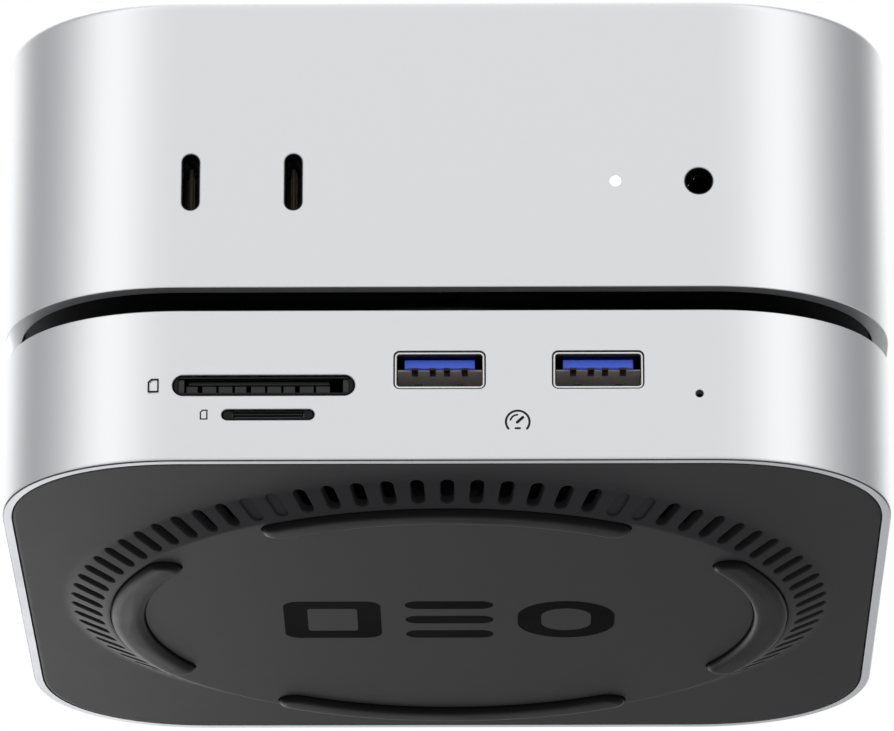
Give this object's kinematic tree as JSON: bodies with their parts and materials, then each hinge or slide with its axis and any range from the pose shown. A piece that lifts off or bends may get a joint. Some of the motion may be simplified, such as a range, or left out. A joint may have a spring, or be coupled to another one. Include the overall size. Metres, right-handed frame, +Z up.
{
  "type": "mini pc",
  "caption": "Square mini PC with rounded corners and front ports, seated in a docking hub of the same outline with card slots and a vented round base.",
  "frame": {"origin": "on the surface the rubber feet stand on, under the middle of the square outline", "axes": "+Z up; -Y is the front, with the card slots and the front ports; +X is to the right when seen from the front"},
  "size_m": [0.127, 0.127, 0.0729],
  "materials": {
    "anodised_aluminium": "bead-blasted and clear anodised, satin silver",
    "bare_aluminium": "plain extruded aluminium",
    "dark_grey_plastic": "fine-textured satin dark grey moulding",
    "black_plastic": "black moulded plastic",
    "black_rubber": "moulded rubber, dull with a soft sheen",
    "nickel_steel": "thin sheet steel, nickel plated",
    "blue_plastic": "saturated blue moulded plastic",
    "board_laminate": "glass-fibre circuit board with green solder mask",
    "clear_lens": "milky clear light pipe"
  },
  "bodies": {
    "hub": {"hub_shell": "anodised_aluminium", "base_cover": "dark_grey_plastic", "foot_front": "black_rubber", "foot_right": "black_rubber", "foot_rear": "black_rubber", "foot_left": "black_rubber", "cover_screw_front_left": "nickel_steel", "cover_screw_front_right": "nickel_steel", "cover_screw_rear_left": "nickel_steel", "cover_screw_rear_right": "nickel_steel", "seat_dish": "black_plastic", "seat_ring": "black_rubber", "hub_board": "board_laminate", "hub_controller": "black_plastic", "hub_drive": "black_plastic", "hub_drive_socket": "black_plastic", "hub_light_pipe": "clear_lens", "sd_socket": "black_plastic", "microsd_socket": "black_plastic", "usb_a_shell_left": "nickel_steel", "usb_a_shell_right": "nickel_steel", "usb_a_tongue_left": "blue_plastic", "usb_a_tongue_right": "blue_plastic", "host_port_shell": "nickel_steel", "host_port_tongue": "black_plastic"},
    "computer": {"pc_housing": "anodised_aluminium", "pc_bottom_plate": "black_plastic", "plate_screw_front": "nickel_steel", "plate_screw_right": "nickel_steel", "plate_screw_rear": "nickel_steel", "plate_screw_left": "nickel_steel", "pc_foot": "black_plastic", "pc_foot_ring": "black_rubber", "fan_housing": "black_plastic", "heat_sink": "bare_aluminium", "processor": "nickel_steel", "logic_board": "board_laminate", "storage_module": "black_plastic", "power_supply": "nickel_steel", "speaker": "black_plastic", "antenna": "nickel_steel", "front_usb_c_left_shell": "nickel_steel", "front_usb_c_left_tongue": "black_plastic", "front_usb_c_right_shell": "nickel_steel", "front_usb_c_right_tongue": "black_plastic", "status_light": "clear_lens", "headphone_jack": "black_plastic", "rear_usb_c_inner_shell": "nickel_steel", "rear_usb_c_inner_tongue": "black_plastic", "rear_usb_c_middle_shell": "nickel_steel", "rear_usb_c_middle_tongue": "black_plastic", "rear_usb_c_outer_shell": "nickel_steel", "rear_usb_c_outer_tongue": "black_plastic", "power_inlet": "black_plastic", "ethernet_jack": "black_plastic", "hdmi_socket": "nickel_steel", "power_switch": "black_plastic"},
    "fan": {"fan_rotor": "black_plastic"},
    "button": {"power_button": "black_plastic"}
  },
  "joints": [
    {"name": "computer_lift", "type": "slide", "parent": "hub", "child": "computer", "axis": [0, 0, 1], "range_m": [0, 0.06]},
    {"name": "fan_spin", "type": "hinge", "parent": "computer", "child": "fan", "pos_m": [0, 0, 0.0358], "axis": [0, 0, 1], "continuous": true},
    {"name": "power_button_press", "type": "slide", "parent": "computer", "child": "button", "axis": [0, 0, 1], "range_m": [0, 0.0008], "stiffness_N_per_m": 900, "springref_m": -0.0008}
  ]
}
